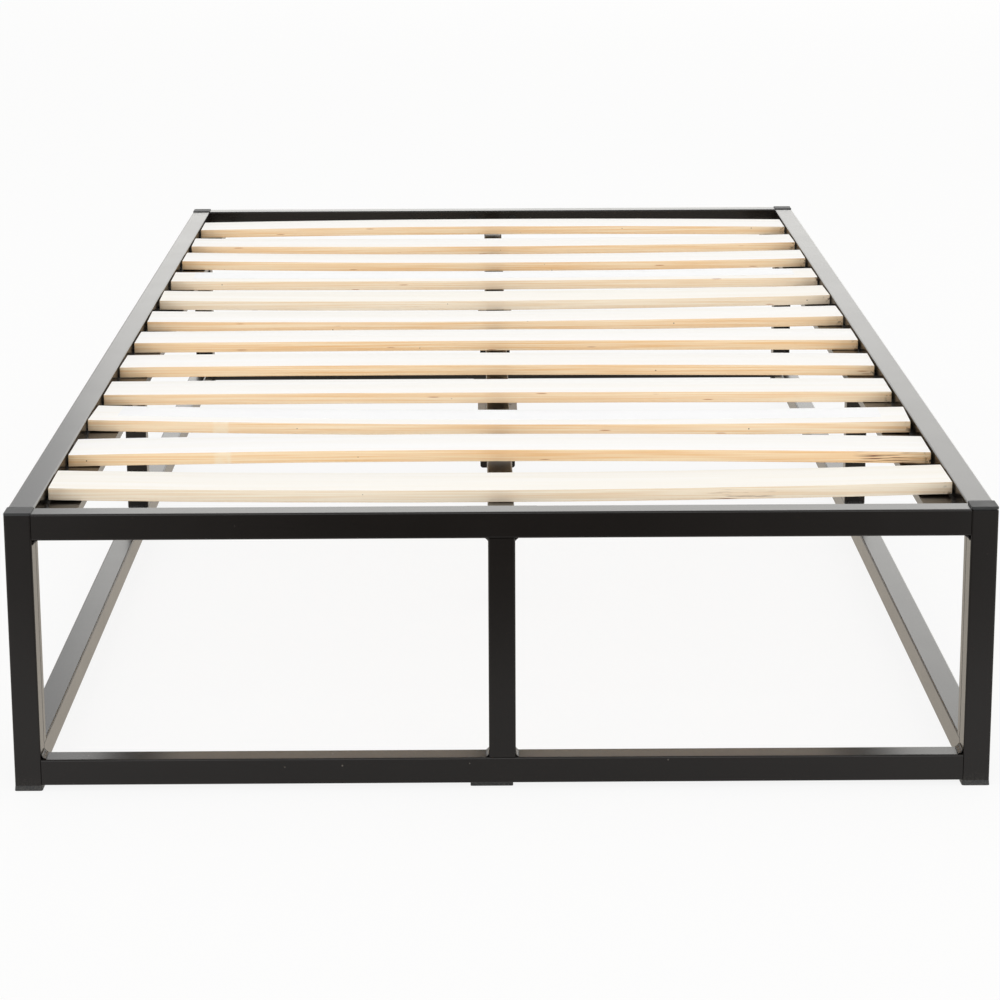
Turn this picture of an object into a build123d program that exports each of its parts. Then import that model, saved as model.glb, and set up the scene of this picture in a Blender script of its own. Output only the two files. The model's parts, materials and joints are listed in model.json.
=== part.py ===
from build123d import *
import os
from math import atan, degrees

# Metal bed frame: welded foot, head and side frames of square tube, a centre rail on two legs,
# and loose timber slats. Millimetres, +Z up, +Y from the foot end to the head end.
# The origin is on the floor, under the middle of the frame.

# Overall sizes
BED_WIDTH = 910.0
BED_LENGTH = 1900.0
RAIL_TOP = 266.0

# Square steel tube of the frames
TUBE = 25.0
TUBE_WALL = 1.2
TUBE_CORNER = 1.8
END_RAIL_CLEAR = 5.0
SIDE_RAIL_CLEAR = 13.5
WELD_LEG = 4.5

# Plastic caps, feet and glides
CAP_RIM = 2.4
CAP_PROUD = 1.2
CAP_EDGE = 0.8
LOOSE_CAP = ("foot", "right")
LOOSE_CAP_LIFT = 1.2
PLUG_DEPTH = 14.0
PLUG_CLEAR = 0.2
FOOT_FLARE = 0.5
GLIDE_WIDTH = 40.0
GLIDE_DEPTH = 12.0
GLIDE_OFFSET = 10.0

# Upright channels that bolt the side frames to the corner posts
UPRIGHT_DEPTH = 12.0
UPRIGHT_SHEET = 2.0
UPRIGHT_BOLT_INSET = 30.0

# Slat ledges on the side rails
LEDGE_DROP = 13.5
LEDGE_WIDTH = 33.0
LEDGE_LIP = 9.0
LEDGE_BACK = 11.0
LEDGE_SHEET = 1.5
LEDGE_END_GAP = 20.0

# Centre rail and its end plates
CENTRE_DROP = 3.0
PLATE_WIDTH = 76.0
PLATE_TALL = 28.5
PLATE_THICK = 3.0
PLATE_BELOW_TOP = 1.0
PLATE_CORNER = 6.0
PLATE_BOLT_SPACING = 61.0

# Centre legs
LEG_SPACING = 590.0
BRACKET_WIDTH = 44.0
BRACKET_LENGTH = 50.0
BRACKET_TAB_WIDTH = 39.0
BRACKET_TAB_DROP = 66.0
BRACKET_TAB_CORNER = 3.0
BRACKET_CHAMFER = 5.0
BRACKET_SHEET = 2.5
BRACKET_BOLT_SPACING = 38.0
BRACKET_HOLE = 1.4
BRACKET_HOLE_SPACING = 28.5
BRACKET_HOLE_LEFT = 18.0
BRACKET_HOLE_RIGHT = 6.0
LEG_UPPER = 22.0
LEG_UPPER_CLEAR = 69.0
LEG_LOWER = 18.0
LEG_OVERLAP = 60.0
LEG_CORNER = 2.0
LEG_FOOT_THICK = 5.0
LEG_PIN_UP = 25.0

# Bolts: shank radius, head radius, head height, and the rivet nuts they turn into
CORNER_SHANK = 4.0
CORNER_HEAD = 7.0
CORNER_HEAD_HEIGHT = 4.5
PLATE_SHANK = 3.0
PLATE_HEAD = 6.0
PLATE_HEAD_HEIGHT = 3.5
LEG_SHANK = 2.5
LEG_HEAD = 4.5
LEG_HEAD_HEIGHT = 3.0
SOCKET_SHARE = 0.5
BOLT_CLEAR = 0.3
NUT_WALL = 1.6
NUT_COLLAR = 1.5
NUT_COLLAR_LENGTH = 3.0
NUT_LENGTH = 15.0
THREAD_CLEAR = 0.05

# Slats
SLAT_WIDTH = 72.0
SLAT_THICK = 12.0
SLAT_END_GAP = 2.0
SLAT_EDGE = 1.5
SLAT_SEAT_GAP = 0.3
SLAT_FOOT_GAP = 76.0
SLAT_HEAD_GAP = 96.0
# How each slat lies, from the foot end to the head end: its shift along the bed from even spacing,
# how far its right end lies towards the head, and how far its middle bows up.
SLAT_LIES = [
    (1, 5, -5), (-5, -7, 4), (-3, -28, -4), (-6, -4, 1), (-5, -11, 2), (-1, -3, 1),
    (-2, 15, -3), (-3, 17, -4), (-5, 8, -2), (4, -1, -4), (-4, 12, -3), (0, 5, 3),
]

# Flat tapes along the tops of two slats, counted from the foot end
TAPED_SLATS = (3, 9)
TAPE_WIDTH = 46.0
TAPE_THICK = 0.4
TAPE_FRONT_GAP = 22.0
TAPE_END_GAP = 28.0
TAPE_BOND = 0.05

# Places worked out from the sizes above
HALF_WIDTH = BED_WIDTH / 2
HALF_LENGTH = BED_LENGTH / 2
POST_X = HALF_WIDTH - TUBE / 2
POST_Y = HALF_LENGTH - TUBE / 2
INNER_X = HALF_WIDTH - TUBE
INNER_Y = HALF_LENGTH - TUBE
TOP_RAIL_Z = RAIL_TOP - TUBE / 2
TOP_RAIL_UNDER = RAIL_TOP - TUBE
END_RAIL_Z = END_RAIL_CLEAR + TUBE / 2
END_RAIL_OVER = END_RAIL_CLEAR + TUBE
SIDE_RAIL_Z = SIDE_RAIL_CLEAR + TUBE / 2
SIDE_RAIL_OVER = SIDE_RAIL_CLEAR + TUBE
POST_TOP = RAIL_TOP + CAP_PROUD - CAP_RIM
LEDGE_TOP = RAIL_TOP - LEDGE_DROP
CENTRE_TOP = LEDGE_TOP - CENTRE_DROP
CENTRE_UNDER = CENTRE_TOP - TUBE
LEG_TOP = CENTRE_UNDER - BRACKET_SHEET
WELD_LENGTH = TUBE - 2 * TUBE_CORNER
SLAT_LENGTH = 2 * (INNER_X - SLAT_END_GAP)
SLAT_PITCH = (2 * INNER_Y - SLAT_FOOT_GAP - SLAT_HEAD_GAP - SLAT_WIDTH) / (len(SLAT_LIES) - 1)
SIDES = {"left": -1, "right": 1}
ENDS = {"foot": -1, "head": 1}


def inner_corner(corner, wall):
    """Inside corner radius of a tube, which a thick wall makes small but never closes."""
    return max(corner - wall, corner / 10)


def square_tube(start, end, size=TUBE, corner=TUBE_CORNER):
    """A hollow square tube from one point to another, along X, Y or Z."""
    run = Vector(*end) - Vector(*start)
    across = Vector(0, 1, 0) if abs(run.X) > abs(run.Y) else Vector(1, 0, 0)
    bore = size - 2 * TUBE_WALL
    ring = RectangleRounded(size, size, corner)
    ring -= RectangleRounded(bore, bore, inner_corner(corner, TUBE_WALL))
    return extrude(Plane(Vector(*start), x_dir=across, z_dir=run) * ring, run.length)


def rod(start, end, radius):
    """A round rod from one point to another."""
    run = Vector(*end) - Vector(*start)
    return extrude(Plane(Vector(*start), z_dir=run) * Circle(radius), run.length)


def block(low, high):
    """A plain block between two corners."""
    size = Vector(*high) - Vector(*low)
    return Pos(*low) * Box(size.X, size.Y, size.Z, align=(Align.MIN, Align.MIN, Align.MIN))


def bolt(seat, way, grip, shank, head, head_height):
    """A socket-head bolt: its head lies on the seat and its shank runs the given way."""
    seat = Vector(*seat)
    way = Vector(*way)
    top = seat - way * head_height
    body = rod(seat, seat + way * grip, shank) + rod(top, seat, head)
    socket = Plane(top, z_dir=way) * RegularPolygon(head * SOCKET_SHARE, 6)
    return body - extrude(socket, head_height * SOCKET_SHARE)


def rivet_nut(face, way, shank):
    """A nut set in a tube wall: flush outside, with a collar behind the wall."""
    face = Vector(*face)
    way = Vector(*way)
    sleeve = shank + NUT_WALL
    behind = face + way * TUBE_WALL
    body = rod(face, face + way * NUT_LENGTH, sleeve)
    body += rod(behind, behind + way * NUT_COLLAR_LENGTH, sleeve + NUT_COLLAR)
    return body - rod(face, face + way * NUT_LENGTH, shank + THREAD_CLEAR)


def nut_hole(face, way, shank):
    """The round hole in a tube wall that takes a rivet nut."""
    face = Vector(*face)
    way = Vector(*way)
    return rod(face - way * TUBE_WALL, face + way * 2 * TUBE_WALL, shank + NUT_WALL + THREAD_CLEAR)


def bolt_hole(face, way, shank, thick):
    """A clearance hole through a sheet, from its far face."""
    face = Vector(*face)
    way = Vector(*way)
    return rod(face - way * thick, face + way * 2 * thick, shank + BOLT_CLEAR)


def weld(corner, along, up, lengthwise):
    """A bead in an inner corner: its two legs run along and up, and it is swept lengthwise."""
    corner = Vector(*corner)
    along = Vector(*along) * WELD_LEG
    up = Vector(*up) * WELD_LEG
    sweep = Vector(*lengthwise) * WELD_LENGTH
    start = corner - sweep / 2
    face = make_face(Polyline(start, start + along, start + up, close=True))
    return extrude(face, WELD_LENGTH, dir=Vector(*lengthwise))


def corner_bolt_heights():
    """The two heights at which each side frame is bolted to a corner post."""
    return SIDE_RAIL_OVER + UPRIGHT_BOLT_INSET, TOP_RAIL_UNDER - UPRIGHT_BOLT_INSET


def corner_post(side, end):
    """A corner post, with the holes for the rivet nuts in the face towards the side frame."""
    x, y = side * POST_X, end * POST_Y
    post = square_tube((x, y, END_RAIL_CLEAR), (x, y, POST_TOP))
    for z in corner_bolt_heights():
        post -= nut_hole((x, end * INNER_Y, z), (0, end, 0), CORNER_SHANK)
    return post


def plate_bolt_places():
    """The two places across the bed where a centre rail plate is bolted."""
    return -PLATE_BOLT_SPACING / 2, PLATE_BOLT_SPACING / 2


def end_top_rail(end):
    """The top rail of an end frame, with holes for the centre rail's rivet nuts."""
    y = end * POST_Y
    rail = square_tube((-INNER_X, y, TOP_RAIL_Z), (INNER_X, y, TOP_RAIL_Z))
    for x in plate_bolt_places():
        rail -= nut_hole((x, end * INNER_Y, TOP_RAIL_Z), (0, end, 0), PLATE_SHANK)
    return rail


def end_frame(name, end):
    """The five tubes of the foot or head frame."""
    y = end * POST_Y
    return {
        f"{name}_left_post": corner_post(-1, end),
        f"{name}_right_post": corner_post(1, end),
        f"{name}_top_rail": end_top_rail(end),
        f"{name}_bottom_rail": square_tube((-INNER_X, y, END_RAIL_Z), (INNER_X, y, END_RAIL_Z)),
        f"{name}_centre_post": square_tube((0, y, END_RAIL_OVER), (0, y, TOP_RAIL_UNDER)),
    }


def upright(side, end):
    """An upright channel, web against the corner post and open towards the bed's middle."""
    low = Vector(side * POST_X - TUBE / 2, 0, SIDE_RAIL_OVER)
    high = Vector(side * POST_X + TUBE / 2, 0, TOP_RAIL_UNDER)
    web_y, open_y = end * INNER_Y, end * (INNER_Y - UPRIGHT_DEPTH)
    floor_y = end * (INNER_Y - UPRIGHT_SHEET)
    channel = block((low.X, min(web_y, open_y), low.Z), (high.X, max(web_y, open_y), high.Z))
    channel -= block((low.X + UPRIGHT_SHEET, min(floor_y, open_y), low.Z),
                     (high.X - UPRIGHT_SHEET, max(floor_y, open_y), high.Z))
    for z in corner_bolt_heights():
        channel -= bolt_hole((side * POST_X, floor_y, z), (0, end, 0), CORNER_SHANK, UPRIGHT_SHEET)
    return channel


def slat_ledge(side):
    """A folded ledge on the inner face of a side rail: back, shelf and turned-down lip."""
    back_x = side * INNER_X
    lip_x = side * (INNER_X - LEDGE_WIDTH)
    under = LEDGE_TOP - LEDGE_SHEET
    outline = Polyline(
        (back_x, LEDGE_TOP), (lip_x, LEDGE_TOP), (lip_x, LEDGE_TOP - LEDGE_LIP),
        (lip_x + side * LEDGE_SHEET, LEDGE_TOP - LEDGE_LIP), (lip_x + side * LEDGE_SHEET, under),
        (back_x - side * LEDGE_SHEET, under), (back_x - side * LEDGE_SHEET, LEDGE_TOP - LEDGE_BACK),
        (back_x, LEDGE_TOP - LEDGE_BACK), close=True)
    half = INNER_Y - LEDGE_END_GAP
    return extrude(Plane.XZ * make_face(outline), half, both=True)


def side_frame(name, side):
    """The tubes, channels and ledge of the left or right side frame."""
    x = side * POST_X
    return {
        f"{name}_top_rail": square_tube((x, -INNER_Y, TOP_RAIL_Z), (x, INNER_Y, TOP_RAIL_Z)),
        f"{name}_bottom_rail": square_tube((x, -INNER_Y, SIDE_RAIL_Z), (x, INNER_Y, SIDE_RAIL_Z)),
        f"{name}_mid_post": square_tube((x, 0, SIDE_RAIL_OVER), (x, 0, TOP_RAIL_UNDER)),
        f"{name}_foot_upright": upright(side, -1),
        f"{name}_head_upright": upright(side, 1),
        f"{name}_slat_ledge": slat_ledge(side),
    }


def weld_beads():
    """The beads of all frames, each in the inner corner of two tubes."""
    beads = []
    for end in ENDS.values():
        y = end * POST_Y
        for side in SIDES.values():
            for x, way in ((side * INNER_X, -side), (side * TUBE / 2, side)):
                beads.append(weld((x, y, TOP_RAIL_UNDER), (way, 0, 0), (0, 0, -1), (0, 1, 0)))
                beads.append(weld((x, y, END_RAIL_OVER), (way, 0, 0), (0, 0, 1), (0, 1, 0)))
    for side in SIDES.values():
        for way in (-1, 1):
            x, y = side * POST_X, way * TUBE / 2
            beads.append(weld((x, y, TOP_RAIL_UNDER), (0, way, 0), (0, 0, -1), (1, 0, 0)))
            beads.append(weld((x, y, SIDE_RAIL_OVER), (0, way, 0), (0, 0, 1), (1, 0, 0)))
    return Compound(children=beads)


def plug(x, y, z, up, size, wall, corner):
    """The part of a cap or foot that is pushed into a tube's end, up or down from z."""
    width = size - 2 * wall - 2 * PLUG_CLEAR
    outline = RectangleRounded(width, width, inner_corner(corner, wall))
    return extrude(Plane((x, y, z), z_dir=(0, 0, up)) * outline, PLUG_DEPTH)


def top_cap(side, end, lift):
    """A cap on a corner post: an eased rim as wide as the tube, with a plug below.

    A cap that is not pushed home stands up from the post's end by the lift.
    """
    x, y, seat = side * POST_X, end * POST_Y, POST_TOP + lift
    rim = extrude(Plane((x, y, seat)) * RectangleRounded(TUBE, TUBE, TUBE_CORNER), CAP_RIM)
    rim = fillet(rim.faces().sort_by(Axis.Z)[-1].edges(), CAP_EDGE)
    return rim + plug(x, y, seat, -1, TUBE, TUBE_WALL, TUBE_CORNER)


def post_foot(side, end):
    """A foot under a corner post: a base that flares to the floor, with a plug above."""
    x, y = side * POST_X, end * POST_Y
    wide = TUBE + 2 * FOOT_FLARE
    base = loft([
        Plane((x, y, 0)) * RectangleRounded(wide, wide, TUBE_CORNER + FOOT_FLARE),
        Plane((x, y, END_RAIL_CLEAR)) * RectangleRounded(TUBE, TUBE, TUBE_CORNER),
    ])
    return base + plug(x, y, END_RAIL_CLEAR, 1, TUBE, TUBE_WALL, TUBE_CORNER)


def rail_glide(end):
    """A glide under the bottom rail of an end frame, a little to the left of the middle."""
    outline = RectangleRounded(GLIDE_WIDTH, GLIDE_DEPTH, TUBE_CORNER)
    return extrude(Plane((-GLIDE_OFFSET, end * POST_Y, 0)) * outline, END_RAIL_CLEAR)


def rail_plate(end):
    """A plate welded to the centre rail's end and bolted to the end frame's top rail."""
    middle = RAIL_TOP - PLATE_BELOW_TOP - PLATE_TALL / 2
    outline = RectangleRounded(PLATE_WIDTH, PLATE_TALL, PLATE_CORNER)
    face = Plane((0, end * INNER_Y, middle), x_dir=(1, 0, 0), z_dir=(0, -end, 0)) * outline
    plate = extrude(face, PLATE_THICK)
    for x in plate_bolt_places():
        seat = (x, end * (INNER_Y - PLATE_THICK), TOP_RAIL_Z)
        plate -= bolt_hole(seat, (0, end, 0), PLATE_SHANK, PLATE_THICK)
    return plate


def leg_y(end):
    """Where a centre leg stands along the bed."""
    return end * LEG_SPACING / 2


def bracket_bolt_places(end):
    """The two places along the centre rail where a leg bracket is bolted up into it."""
    return leg_y(end) - BRACKET_BOLT_SPACING / 2, leg_y(end) + BRACKET_BOLT_SPACING / 2


def leg_bracket(end):
    """A folded bracket: a flange under the centre rail and a tab in front of the leg."""
    y = leg_y(end)
    flange = extrude(Plane((0, y, LEG_TOP)) * chamfer(
        Rectangle(BRACKET_WIDTH, BRACKET_LENGTH).vertices(), BRACKET_CHAMFER), BRACKET_SHEET)
    tab = Rectangle(BRACKET_TAB_WIDTH, BRACKET_TAB_DROP, align=(Align.CENTER, Align.MAX))
    tab = fillet(tab.vertices().sort_by(Axis.Y)[:2], BRACKET_TAB_CORNER)
    tab_y = y - LEG_UPPER / 2 - BRACKET_SHEET
    tab = extrude(Plane((0, tab_y, LEG_TOP), x_dir=(-1, 0, 0), z_dir=(0, 1, 0)) * tab, BRACKET_SHEET)
    bracket = flange + tab
    for bolt_y in bracket_bolt_places(end):
        bracket -= bolt_hole((0, bolt_y, LEG_TOP), (0, 0, 1), LEG_SHANK, BRACKET_SHEET)
    for side, offset in ((-1, BRACKET_HOLE_LEFT), (1, BRACKET_HOLE_RIGHT)):
        spare = (side * BRACKET_HOLE_SPACING / 2, y + offset, LEG_TOP)
        bracket -= bolt_hole(spare, (0, 0, 1), BRACKET_HOLE, BRACKET_SHEET)
    return bracket


def leg_pin_z():
    """The height of the bolt that holds the lower leg in the upper one."""
    return LEG_UPPER_CLEAR + LEG_PIN_UP


def leg_upper(end):
    """The upper leg tube, welded under its bracket."""
    y = leg_y(end)
    tube = square_tube((0, y, LEG_UPPER_CLEAR), (0, y, LEG_TOP), LEG_UPPER, LEG_CORNER)
    return tube - leg_pin_hole(end)


def leg_lower(end):
    """The narrower lower leg tube, pushed up into the upper one."""
    y = leg_y(end)
    top = LEG_UPPER_CLEAR + LEG_OVERLAP
    tube = square_tube((0, y, LEG_FOOT_THICK), (0, y, top), LEG_LOWER, LEG_CORNER)
    return tube - leg_pin_hole(end)


def leg_pin_hole(end):
    """The cross hole through both leg tubes."""
    y = leg_y(end)
    return rod((0, y - LEG_UPPER, leg_pin_z()), (0, y + LEG_UPPER, leg_pin_z()), LEG_SHANK + BOLT_CLEAR)


def leg_foot(end):
    """The plastic foot of a centre leg."""
    y = leg_y(end)
    base = extrude(Plane((0, y, 0)) * RectangleRounded(LEG_LOWER, LEG_LOWER, LEG_CORNER), LEG_FOOT_THICK)
    return base + plug(0, y, LEG_FOOT_THICK, 1, LEG_LOWER, TUBE_WALL, LEG_CORNER)


def centre_rail():
    """The rail under the slats' middle, with holes for the leg bolts in its underside."""
    half = INNER_Y - PLATE_THICK
    z = CENTRE_TOP - TUBE / 2
    rail = square_tube((0, -half, z), (0, half, z))
    for end in ENDS.values():
        for y in bracket_bolt_places(end):
            rail -= rod((0, y, CENTRE_UNDER - TUBE_WALL), (0, y, CENTRE_UNDER + 2 * TUBE_WALL),
                        LEG_SHANK + THREAD_CLEAR)
    return rail


def corner_fasteners():
    """The bolts of the side frames and the rivet nuts that they turn into."""
    bolts, nuts = [], []
    for side in SIDES.values():
        for end in ENDS.values():
            for z in corner_bolt_heights():
                seat = (side * POST_X, end * (INNER_Y - UPRIGHT_SHEET), z)
                grip = UPRIGHT_SHEET + NUT_LENGTH
                bolts.append(bolt(seat, (0, end, 0), grip, CORNER_SHANK, CORNER_HEAD, CORNER_HEAD_HEIGHT))
                nuts.append(rivet_nut((side * POST_X, end * INNER_Y, z), (0, end, 0), CORNER_SHANK))
    return bolts, nuts


def plate_fasteners():
    """The bolts of the centre rail's plates and their rivet nuts."""
    bolts, nuts = [], []
    for end in ENDS.values():
        for x in plate_bolt_places():
            seat = (x, end * (INNER_Y - PLATE_THICK), TOP_RAIL_Z)
            grip = PLATE_THICK + NUT_LENGTH
            bolts.append(bolt(seat, (0, end, 0), grip, PLATE_SHANK, PLATE_HEAD, PLATE_HEAD_HEIGHT))
            nuts.append(rivet_nut((x, end * INNER_Y, TOP_RAIL_Z), (0, end, 0), PLATE_SHANK))
    return bolts, nuts


def leg_bolts():
    """The bolts up into the centre rail and the cross bolts of the legs."""
    bolts = []
    for end in ENDS.values():
        for y in bracket_bolt_places(end):
            grip = BRACKET_SHEET + TUBE_WALL + LEG_HEAD_HEIGHT
            bolts.append(bolt((0, y, LEG_TOP), (0, 0, 1), grip, LEG_SHANK, LEG_HEAD, LEG_HEAD_HEIGHT))
        back = (0, leg_y(end) + LEG_UPPER / 2, leg_pin_z())
        bolts.append(bolt(back, (0, -1, 0), LEG_UPPER, LEG_SHANK, LEG_HEAD, LEG_HEAD_HEIGHT))
    return bolts


def bowed_strip(length, width, low, high, bow, bow_length):
    """A strip across the bed whose underside and top follow one gentle bow."""
    half = length / 2
    ends = bow * (1 - (length / bow_length) ** 2)
    peak = 2 * bow - ends
    under = Bezier((-half, low + ends), (0, low + peak), (half, low + ends))
    over = Bezier((-half, high + ends), (0, high + peak), (half, high + ends))
    outline = [under, Line(under @ 1, over @ 1), over, Line(over @ 0, under @ 0)]
    return extrude(Plane.XZ * make_face(outline), width / 2, both=True)


def slat_place(index):
    """Where a slat lies: its middle, its turn and its seat on the ledges or the centre rail."""
    shift, skew, bow = SLAT_LIES[index]
    y = -INNER_Y + SLAT_FOOT_GAP + SLAT_WIDTH / 2 + index * SLAT_PITCH + shift
    sag_at_lip = -bow * (1 - (2 * (INNER_X - LEDGE_WIDTH) / SLAT_LENGTH) ** 2)
    sag_at_centre = -bow - CENTRE_DROP
    seat = LEDGE_TOP + SLAT_SEAT_GAP + max(0, sag_at_lip, sag_at_centre)
    return Pos(0, y, seat) * Rot(Z=degrees(atan(skew / SLAT_LENGTH)))


def slat(index):
    """One slat: a bowed plank with eased long edges."""
    bow = SLAT_LIES[index][2]
    plank = bowed_strip(SLAT_LENGTH, SLAT_WIDTH, 0, SLAT_THICK, bow, SLAT_LENGTH)
    plank = fillet(plank.edges().sort_by(SortBy.LENGTH)[-4:], SLAT_EDGE)
    return slat_place(index) * plank


def tape(index):
    """A thin flat tape along the top of a slat, nearer its head edge."""
    bow = SLAT_LIES[index - 1][2]
    low = SLAT_THICK + TAPE_BOND
    strip = bowed_strip(SLAT_LENGTH - 2 * TAPE_END_GAP, TAPE_WIDTH, low, low + TAPE_THICK, bow, SLAT_LENGTH)
    back = TAPE_FRONT_GAP + TAPE_WIDTH / 2 - SLAT_WIDTH / 2
    return slat_place(index - 1) * Pos(0, back, 0) * strip


pieces = {}
for end_name, end_sign in ENDS.items():
    pieces.update(end_frame(end_name, end_sign))
    pieces[f"centre_rail_{end_name}_plate"] = rail_plate(end_sign)
    pieces[f"{end_name}_leg_bracket"] = leg_bracket(end_sign)
    pieces[f"{end_name}_leg_upper"] = leg_upper(end_sign)
    pieces[f"{end_name}_leg_lower"] = leg_lower(end_sign)
    for side_name, side_sign in SIDES.items():
        cap_lift = LOOSE_CAP_LIFT if (end_name, side_name) == LOOSE_CAP else 0
        pieces[f"{end_name}_{side_name}_top_cap"] = top_cap(side_sign, end_sign, cap_lift)
        pieces[f"{end_name}_{side_name}_foot"] = post_foot(side_sign, end_sign)
for side_name, side_sign in SIDES.items():
    pieces.update(side_frame(side_name, side_sign))
pieces["weld_beads"] = weld_beads()
pieces["centre_rail"] = centre_rail()
pieces["leg_feet"] = Compound(children=[leg_foot(end) for end in ENDS.values()])
pieces["rail_glides"] = Compound(children=[rail_glide(end) for end in ENDS.values()])
corner_bolts, corner_nuts = corner_fasteners()
plate_bolts, plate_nuts = plate_fasteners()
pieces["corner_bolts"] = Compound(children=corner_bolts)
pieces["centre_rail_bolts"] = Compound(children=plate_bolts)
pieces["rivet_nuts"] = Compound(children=corner_nuts + plate_nuts)
pieces["leg_bolts"] = Compound(children=leg_bolts())
for number in range(1, len(SLAT_LIES) + 1):
    pieces[f"slat_{number:02d}"] = slat(number - 1)
for number in TAPED_SLATS:
    pieces[f"slat_{number:02d}_tape"] = tape(number)

os.makedirs("parts", exist_ok=True)
for name, piece in pieces.items():
    export_step(piece, f"parts/{name}.step")
print(len(pieces), "pieces")
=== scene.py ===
# %% [markdown]
# # A metal bed frame with loose timber slats
#
# The bed is a low box of square steel tube, powder-coated black, that carries twelve pale timber slats.
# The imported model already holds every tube, plate, bolt and slat at its real size and place, in metres.
# This lesson dresses it: each finish becomes a procedural material, and what needs a finer surface than
# a solid has, the slats, their tapes and the weld beads, is modelled again here, on the same places.

import json
import math
import random

import bmesh
import bpy
from mathutils import Matrix, Vector


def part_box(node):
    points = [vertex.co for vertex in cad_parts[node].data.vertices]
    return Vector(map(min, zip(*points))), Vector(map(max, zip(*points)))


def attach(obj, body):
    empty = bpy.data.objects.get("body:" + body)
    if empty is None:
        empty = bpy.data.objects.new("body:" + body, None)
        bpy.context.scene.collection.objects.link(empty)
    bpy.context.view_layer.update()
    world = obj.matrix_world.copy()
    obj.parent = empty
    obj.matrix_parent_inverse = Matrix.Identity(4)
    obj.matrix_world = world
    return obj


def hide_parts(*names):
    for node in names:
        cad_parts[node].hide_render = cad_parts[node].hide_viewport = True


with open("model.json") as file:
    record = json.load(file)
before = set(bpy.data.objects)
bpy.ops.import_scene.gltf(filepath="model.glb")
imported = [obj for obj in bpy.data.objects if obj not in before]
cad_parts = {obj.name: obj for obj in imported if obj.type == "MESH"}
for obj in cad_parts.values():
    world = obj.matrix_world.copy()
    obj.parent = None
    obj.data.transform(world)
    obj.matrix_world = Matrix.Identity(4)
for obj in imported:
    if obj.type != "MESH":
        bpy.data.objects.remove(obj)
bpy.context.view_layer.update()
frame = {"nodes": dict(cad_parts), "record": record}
MM = 0.001

# %% [markdown]
# ## Helpers for materials
#
# Colours are written as the hex values a screen shows. A shader works with light, which is linear, so one
# function converts them. A second one adds a node, sets it and links it, which keeps each material short.
# A third starts a material and fills the sockets of its shader that are the same all over the surface. The
# last one turns the real size of a pattern, in millimetres, into the scale of a texture.

# %% Colour, node and material helpers
def linear(shown):
    """The linear colour, with alpha, of a hex value such as #1d1b1a."""
    parts = [int(shown[place:place + 2], 16) / 255 for place in (1, 3, 5)]
    return [p / 12.92 if p <= 0.04045 else ((p + 0.055) / 1.055) ** 2.4 for p in parts] + [1.0]


def add_node(tree, kind, inputs=None, **settings):
    """Adds a node with its settings, and fills its inputs with numbers or with other nodes' outputs."""
    node = tree.nodes.new(kind)
    for name, value in settings.items():
        setattr(node, name, value)
    for socket, value in (inputs or {}).items():
        if isinstance(value, bpy.types.NodeSocket):
            tree.links.new(value, node.inputs[socket])
        else:
            node.inputs[socket].default_value = value
    return node


def start_material(name, sockets):
    """A new material, its node tree and its Principled shader with some sockets filled."""
    material = bpy.data.materials.new(name)
    material.use_nodes = True
    shader = material.node_tree.nodes["Principled BSDF"]
    for socket, value in sockets.items():
        shader.inputs[socket].default_value = value
    return material, material.node_tree, shader


def per_metre(millimetres):
    """The texture scale at which a pattern repeats about every so many millimetres."""
    return 1000 / millimetres


print("#808080 is", round(linear("#808080")[0], 3), "in linear light")

# %% [markdown]
# ## Satin black powder coat
#
# The tubes are coated with polyester powder that is baked to an even satin skin. Up close it has a fine
# orange peel, and seen along its length it mirrors the white room, as every coat does at a flat angle.
# A plain dielectric does that by itself, so the shader needs only a low IOR, a fairly low roughness and a
# fine bump, and no second coat layer. A little dust from the floor clings to the posts, and a few pale
# specks lie on the lowest rails. Masks that fade with height place both, so nothing is painted by hand.

# %% Powder coat material
DUST_COLOUR = "#8d857a"


def floor_dust(tree, place):
    """A mask of dust from the floor: a patchy film low on the corner posts, and specks of grit."""
    across, _, height = add_node(tree, "ShaderNodeSeparateXYZ", {0: place}).outputs
    low = add_node(tree, "ShaderNodeMapRange", {
        "Value": height, "From Min": 3 * MM, "From Max": 16 * MM, "To Min": 0.08, "To Max": 0.0})
    out = add_node(tree, "ShaderNodeMath", {0: across}, operation="ABSOLUTE")
    post_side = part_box("foot_right_post")[0].x
    on_post = add_node(tree, "ShaderNodeMath", {0: out.outputs[0], 1: post_side}, operation="GREATER_THAN")
    low_post = add_node(tree, "ShaderNodeMath", {
        0: low.outputs[0], 1: on_post.outputs[0]}, operation="MULTIPLY")
    cling = add_node(tree, "ShaderNodeTexNoise", {"Vector": place, "Scale": per_metre(1.6), "Detail": 3.0})
    patches = add_node(tree, "ShaderNodeMapRange", {
        "Value": cling.outputs[0], "From Min": 0.46, "From Max": 0.72})
    film = add_node(tree, "ShaderNodeMath", {
        0: low_post.outputs[0], 1: patches.outputs[0]}, operation="MULTIPLY")

    grit = add_node(tree, "ShaderNodeTexVoronoi", {"Vector": place, "Scale": per_metre(22)})
    speck = add_node(tree, "ShaderNodeMapRange", {
        "Value": grit.outputs["Distance"], "From Min": 0.02, "From Max": 0.045,
        "To Min": 1.0, "To Max": 0.0})
    near_floor = add_node(tree, "ShaderNodeMapRange", {
        "Value": height, "From Min": 25 * MM, "From Max": 60 * MM, "To Min": 0.5, "To Max": 0.06})
    specks = add_node(tree, "ShaderNodeMath", {
        0: speck.outputs[0], 1: near_floor.outputs[0]}, operation="MULTIPLY")
    return add_node(tree, "ShaderNodeMath", {
        0: film.outputs[0], 1: specks.outputs[0]}, operation="MAXIMUM").outputs[0]


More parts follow.
